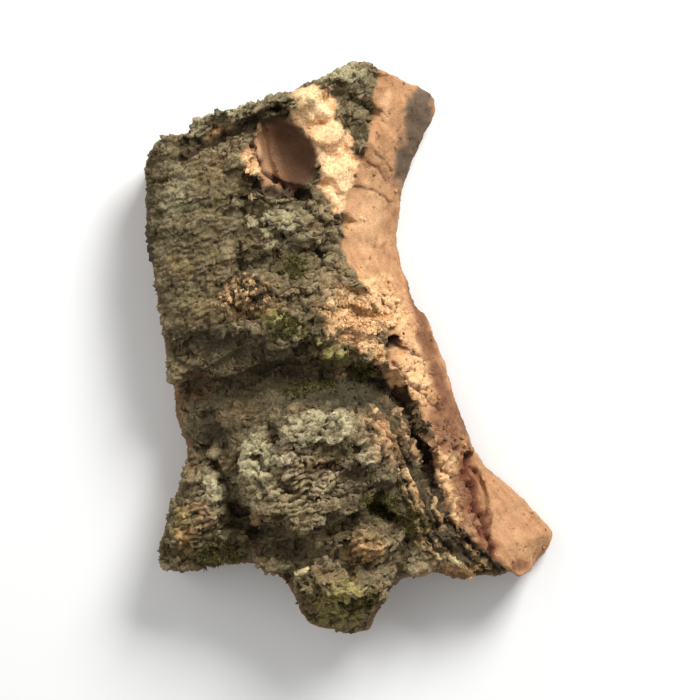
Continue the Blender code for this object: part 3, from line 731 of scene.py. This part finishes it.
skin.vertices.foreach_set("co", inside_box(points + normals * (relief * MM)[:, None]).ravel())
keep(skin, "paint", paint)
keep(skin, "moss", moss)
upward = blend_step(0.2, 0.6, normals[:, 2])
keep(skin, "sleek", np.clip(smooth_cut + scoop + 0.7 * inner + 0.5 * crumbly_cut, 0.0, 1.0))
crumbly = 0.5 * crumbs + 0.2 * crumbly_cut + rotten + 0.2 * strata + 0.12 * upward
keep(skin, "crumbly", np.clip(crumbly, 0.0, 1.0) * upward)
flaky = upward * (1.0 - cut) * (1.0 - scoop) * (1.0 - fresh)
keep(skin, "flaky", flaky * (1.0 - 0.7 * slab) * (0.3 + 0.7 * mottle))
thick_skin = new_object("thick skin", skin)
thin = thick_skin.modifiers.new("Thin out", "DECIMATE")
triangles = 2 * len(skin.polygons)  # each face of the net is split in two
thin.ratio = PIECE_LIMIT / triangles
thin.use_collapse_triangulate = True
bark_mesh = with_modifiers(thick_skin, "bark skin")
bark_mesh.vertices.foreach_set("co", inside_box(points_of(bark_mesh)).ravel())
bark_mesh.shade_smooth()
bark = new_object("bark", bark_mesh)
print("bark triangles:", len(bark_mesh.polygons), [layer.name for layer in bark_mesh.attributes])

# %% [markdown]
# ## The bark's material
#
# The paint comes from the points. What is smaller than the net, such as dust, cork cells and the finest
# grains, comes from noise in the material, which tints the paint and roughens the surface a little.

# %% Bark material
def new_material(name):
    """A material with an empty node tree, and its main shader already joined to the output."""
    material = bpy.data.materials.new(name)
    material.use_nodes = True
    tree = material.node_tree
    tree.nodes.clear()
    output = tree.nodes.new("ShaderNodeOutputMaterial")
    shader = tree.nodes.new("ShaderNodeBsdfPrincipled")
    tree.links.new(shader.outputs["BSDF"], output.inputs["Surface"])
    return material, tree, shader


def noise(tree, size, detail=4.0):
    """Noise with features of the given size on the object, from 0 to 1."""
    place = tree.nodes.new("ShaderNodeTexCoord")
    texture = tree.nodes.new("ShaderNodeTexNoise")
    texture.inputs["Scale"].default_value = 1.0 / size
    texture.inputs["Detail"].default_value = detail
    tree.links.new(place.outputs["Object"], texture.inputs["Vector"])
    return texture.outputs["Fac"]


def span(tree, value, low, high, to_low, to_high):
    """A value mapped from one span to another."""
    mapped = tree.nodes.new("ShaderNodeMapRange")
    for name, number in (("From Min", low), ("From Max", high), ("To Min", to_low), ("To Max", to_high)):
        mapped.inputs[name].default_value = number
    tree.links.new(value, mapped.inputs["Value"])
    return mapped.outputs["Result"]


def kept(tree, name):
    """A number or colour kept on the points."""
    reader = tree.nodes.new("ShaderNodeAttribute")
    reader.attribute_name = name
    return reader


def blended(tree, share, first, second):
    """The first number where the share is 0, the second where it is 1."""
    mix = tree.nodes.new("ShaderNodeMix")
    tree.links.new(share, mix.inputs["Factor"])
    tree.links.new(first, mix.inputs["A"])
    tree.links.new(second, mix.inputs["B"])
    return mix.outputs["Result"]


def times(tree, tint, factor):
    """A colour made lighter or darker by a factor."""
    scaled = tree.nodes.new("ShaderNodeVectorMath")
    scaled.operation = "SCALE"
    tree.links.new(tint, scaled.inputs[0])
    tree.links.new(factor, scaled.inputs["Scale"])
    return scaled.outputs["Vector"]


def bumped(tree, height, depth, shader):
    """Fine roughness that the mesh is too coarse for."""
    bump = tree.nodes.new("ShaderNodeBump")
    bump.inputs["Strength"].default_value = 1.0
    bump.inputs["Distance"].default_value = depth
    tree.links.new(height, bump.inputs["Height"])
    tree.links.new(bump.outputs["Normal"], shader.inputs["Normal"])


def bark_finish():
    """Paint from the points, tinted and roughened by fine noise."""
    material, tree, shader = new_material("cork oak bark")
    paint_reader = kept(tree, "paint")
    sleek = kept(tree, "sleek").outputs["Fac"]
    dust = blended(tree, sleek, span(tree, noise(tree, 0.5 * MM, 6.0), 0.3, 0.7, 0.6, 1.4),
                   span(tree, noise(tree, 0.3 * MM, 3.0), 0.3, 0.7, 0.84, 1.16))
    blotches = span(tree, noise(tree, 2.4 * MM, 3.0), 0.3, 0.7, 0.88, 1.12)
    dusty = times(tree, paint_reader.outputs["Color"], dust)
    tree.links.new(times(tree, dusty, blotches), shader.inputs["Base Color"])
    shader.inputs["Roughness"].default_value = 0.93
    shader.inputs["Specular IOR Level"].default_value = 0.25
    bumped(tree, noise(tree, 0.4 * MM, 5.0), 0.22 * MM, shader)
    return material


bark.data.materials.clear()
bark.data.materials.append(bark_finish())
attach(bark, "root")
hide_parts("bark_piece")
print("bark material:", bark.data.materials[0].name)

# %% [markdown]
# ## Places for small pieces
#
# Crumbs, flakes and moss are real pieces too, each with its own shape, sunk a little into the bark. A
# place is drawn at random, as likely as the number kept there says, and takes the bark's own colour.
# All pieces of one kind are copies of one small shape, each turned, stretched and dented differently,
# and together they make one mesh.

# %% Scattering
BARK_CORNERS = np.empty(3 * len(bark_mesh.polygons), dtype=np.int32)
bark_mesh.polygons.foreach_get("vertices", BARK_CORNERS)
BARK_CORNERS = BARK_CORNERS.reshape(-1, 3)
BARK_POINTS = points_of(bark_mesh)


def read_kept(name, width):
    """A number or a colour kept on the bark's points."""
    field = "color" if width == 4 else "value"
    values = np.empty(len(BARK_POINTS) * width, dtype=np.float32)
    bark_mesh.attributes[name].data.foreach_get(field, values)
    return values.reshape(len(BARK_POINTS), width)


BARK_PAINT = read_kept("paint", 4)[:, :3]


def spots(name, count, random):
    """Random places on the bark where a kept number is high, with the way out and the paint there."""
    triangles = BARK_POINTS[BARK_CORNERS]
    ways_out = np.cross(triangles[:, 1] - triangles[:, 0], triangles[:, 2] - triangles[:, 0])
    double_area = np.linalg.norm(ways_out, axis=1) + 1e-15
    chance = double_area * read_kept(name, 1)[BARK_CORNERS, 0].mean(axis=1) ** 2
    picked = random.choice(len(triangles), count, p=chance / chance.sum())
    mix = random.dirichlet((1.0, 1.0, 1.0), count)
    places = (triangles[picked] * mix[:, :, None]).sum(axis=1)
    tints = BARK_PAINT[BARK_CORNERS[picked]].mean(axis=1)
    return places, ways_out[picked] / double_area[picked, None], tints


def directions(ways_out, lean, random):
    """Three axes for each piece: the last leans a little away from the way out of the bark."""
    up = ways_out + lean * random.normal(size=ways_out.shape)
    up /= np.linalg.norm(up, axis=1)[:, None]
    side = np.cross(up, random.normal(size=ways_out.shape))
    side /= np.linalg.norm(side, axis=1)[:, None]
    return np.stack([side, np.cross(up, side), up], axis=1)


def many(name, shape, faces, places, axes, sizes, tints, dents, random):
    """One mesh of many copies of a shape, each with its own place, axes, three sizes, tint and dents."""
    copies = shape[None, :, :] * (1.0 + dents * random.normal(size=(len(places), len(shape), 1)))
    copies = np.einsum("nks,nsw->nkw", copies * sizes[:, None, :], axes) + places[:, None, :]
    copies = inside_box(copies.reshape(-1, 3))
    all_faces = (faces[None, :, :] + len(shape) * np.arange(len(places))[:, None, None]).reshape(-1, 3)
    mesh = bpy.data.meshes.new(name)
    mesh.from_pydata(copies.tolist(), [], all_faces.tolist())
    keep(mesh, "paint", np.repeat(tints, len(shape), axis=0))
    made = new_object(name, mesh)
    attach(made, "root")
    print(name, "pieces:", len(places), "triangles:", len(all_faces))
    return made


def pebble():
    """A rough ball of 20 triangles with a radius of 1."""
    work = bmesh.new()
    bmesh.ops.create_icosphere(work, subdivisions=1, radius=1.0)
    shape = np.array([vert.co[:] for vert in work.verts])
    faces = np.array([[vert.index for vert in face.verts] for face in work.faces])
    work.free()
    return shape, faces


# %% [markdown]
# ## Crumbs of cork
#
# Where cork broke, it left crumbs of 0.2 to 1.3 mm. Most lie in the crumbly patches and between the
# strata, and a few have been caught in the cracks elsewhere.

# %% Crumbs
random = np.random.default_rng(5)
CRUMB_COUNT = 1500
CRUMB_RADIUS = (0.15, 0.45)
places, ways_out, tints = spots("crumbly", CRUMB_COUNT, random)
sizes = random.uniform(*CRUMB_RADIUS, (CRUMB_COUNT, 1)) * random.uniform(0.6, 1.4, (CRUMB_COUNT, 3)) * MM
tints = tints * random.uniform(0.7, 1.45, (CRUMB_COUNT, 1))
crumb_shape, crumb_faces = pebble()
crumb_pieces = many("cork_crumbs", crumb_shape, crumb_faces, places + ways_out * 0.1 * MM,
                    directions(ways_out, 0.8, random), sizes, tints, 0.18, random)
crumb_pieces.data.materials.append(bark.data.materials[0])

# %% [markdown]
# ## Flakes of bark
#
# Old bark scales off. The flakes are thin, up to 2.6 mm long, and lean so that one edge stands free and
# throws a thin shadow. That edge is what makes the surface look dry.

# %% Flakes
def flake_shape(sides=7):
    """A thin plate with an uneven rim: top and bottom rim, top and bottom middle."""
    angles = np.arange(sides) * 2.0 * math.pi / sides
    rim = np.stack([np.cos(angles), np.sin(angles), np.zeros(sides)], axis=1)
    shape = np.concatenate([rim + (0, 0, 0.5), rim * 0.9 - (0, 0, 0.5), [(0, 0, 0.8), (0, 0, -0.5)]])
    faces = []
    for here in range(sides):
        after = (here + 1) % sides
        faces += [(here, after, 2 * sides), (sides + after, sides + here, 2 * sides + 1)]
        faces += [(here, sides + here, sides + after), (here, sides + after, after)]
    return shape, np.array(faces)


FLAKE_COUNT = 1200
FLAKE_RADIUS = (0.4, 1.0)
FLAKE_THICKNESS = (0.15, 0.35)
places, ways_out, tints = spots("flaky", FLAKE_COUNT, random)
wide = random.uniform(*FLAKE_RADIUS, (FLAKE_COUNT, 1)) * MM
along = wide * random.uniform(0.8, 1.3, (FLAKE_COUNT, 1))
across = wide * random.uniform(0.4, 0.8, (FLAKE_COUNT, 1))
thick = random.uniform(*FLAKE_THICKNESS, (FLAKE_COUNT, 1)) * MM
sizes = np.concatenate([along, across, thick], axis=1)
tints = tints * random.uniform(0.75, 1.3, (FLAKE_COUNT, 1))
plate_points, plate_faces = flake_shape()
flakes = many("bark_flakes", plate_points, plate_faces, places + ways_out * 0.05 * MM,
              directions(ways_out, 0.35, random), sizes, tints, 0.14, random)
flakes.data.materials.append(bark.data.materials[0])

# %% [markdown]
# ## Moss
#
# The moss in the crevices is short and dense: pointed leaves about 1 mm long. They stand in tufts of
# seven, so that the moss has small humps, and each tuft has its own tone, from dark olive to yellow-green.

# %% Moss
TUFT_COUNT = 2400
LEAVES = 7
LEAF_LENGTH = (0.6, 1.15)
leaf_shape = np.array([(1.0, 0.0, 0.0), (-0.5, 0.87, 0.0), (-0.5, -0.87, 0.0), (0.0, 0.0, 1.0)])
leaf_faces = np.array([(0, 1, 3), (1, 2, 3), (2, 0, 3), (0, 2, 1)])
places, ways_out, tints = spots("moss", TUFT_COUNT, random)
places = np.repeat(places, LEAVES, axis=0)
ways_out = np.repeat(ways_out, LEAVES, axis=0)
count = len(places)
axes = directions(ways_out, 0.55, random)
places = places + axes[:, 0] * random.uniform(0.0, 0.35, (count, 1)) * MM - ways_out * 0.1 * MM
tuft_height = np.repeat(random.uniform(*LEAF_LENGTH, (TUFT_COUNT, 1)), LEAVES, axis=0)
tall = tuft_height * random.uniform(0.7, 1.2, (count, 1)) * MM
sizes = np.concatenate([0.11 * tall, 0.2 * tall, tall], axis=1)
tuft_tone = np.repeat(random.uniform(0.0, 1.0, TUFT_COUNT), LEAVES)
tints = shade(colour(58, 54, 26), colour(112, 104, 54), tuft_tone)
moss_leaves = many("moss", leaf_shape, leaf_faces, places, axes, sizes, tints, 0.05, random)
moss_leaves.data.materials.append(bark.data.materials[0])

# %% [markdown]
# ## Floor and light
#
# The bark lies on a plain pale floor. A soft light stands beyond the top right corner, so that the ridges
# shade the valleys below them. A weaker one on the left and a white sky fill the shadows.

# %% Floor and light
FLOOR_WIDTH = 6.0
KEY_PLACE = (0.30, 0.48, 0.46)
FILL_PLACE = (-0.5, 0.1, 0.45)
SKY_STRENGTH = 0.42


def pale_floor():
    """A wide floor just under the bark."""
    half = FLOOR_WIDTH / 2
    corners = [(-half, -half, 0), (half, -half, 0), (half, half, 0), (-half, half, 0)]
    mesh = bpy.data.meshes.new("floor")
    mesh.from_pydata(corners, [], [(0, 1, 2, 3)])
    floor = new_object("floor", mesh)
    material, tree, shader = new_material("pale floor")
    shader.inputs["Base Color"].default_value = (0.86, 0.86, 0.85, 1.0)
    shader.inputs["Roughness"].default_value = 0.7
    floor.data.materials.append(material)
    return floor


def soft_light(name, place, size, power):
    """A square lamp that faces the bark."""
    lamp = bpy.data.lights.new(name, "AREA")
    lamp.size = size
    lamp.energy = power
    holder = bpy.data.objects.new(name, lamp)
    bpy.context.scene.collection.objects.link(holder)
    holder.location = place
    holder.rotation_euler = (-Vector(place)).to_track_quat("-Z", "Y").to_euler()


floor = pale_floor()
floor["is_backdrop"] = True
soft_light("key", KEY_PLACE, 0.30, 6.6)
soft_light("fill", FILL_PLACE, 0.6, 1.2)
sky = bpy.data.worlds.new("white sky")
sky.use_nodes = True
sky.node_tree.nodes["Background"].inputs["Color"].default_value = (1.0, 1.0, 1.0, 1.0)
sky.node_tree.nodes["Background"].inputs["Strength"].default_value = SKY_STRENGTH
bpy.context.scene.world = sky
bpy.context.scene.view_settings.view_transform = "Standard"

# %% [markdown]
# ## The size
#
# The dressed bark must stay inside the solid's box. Both boxes are kept side by side in `sizes`, and
# the dressed one is printed.

dressed_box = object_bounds()
sizes = {"cad": [list(corner) for corner in cad_box], "dressed": [list(corner) for corner in dressed_box]}
print("dressed, mm:", [[round(1000 * value, 2) for value in corner] for corner in dressed_box])
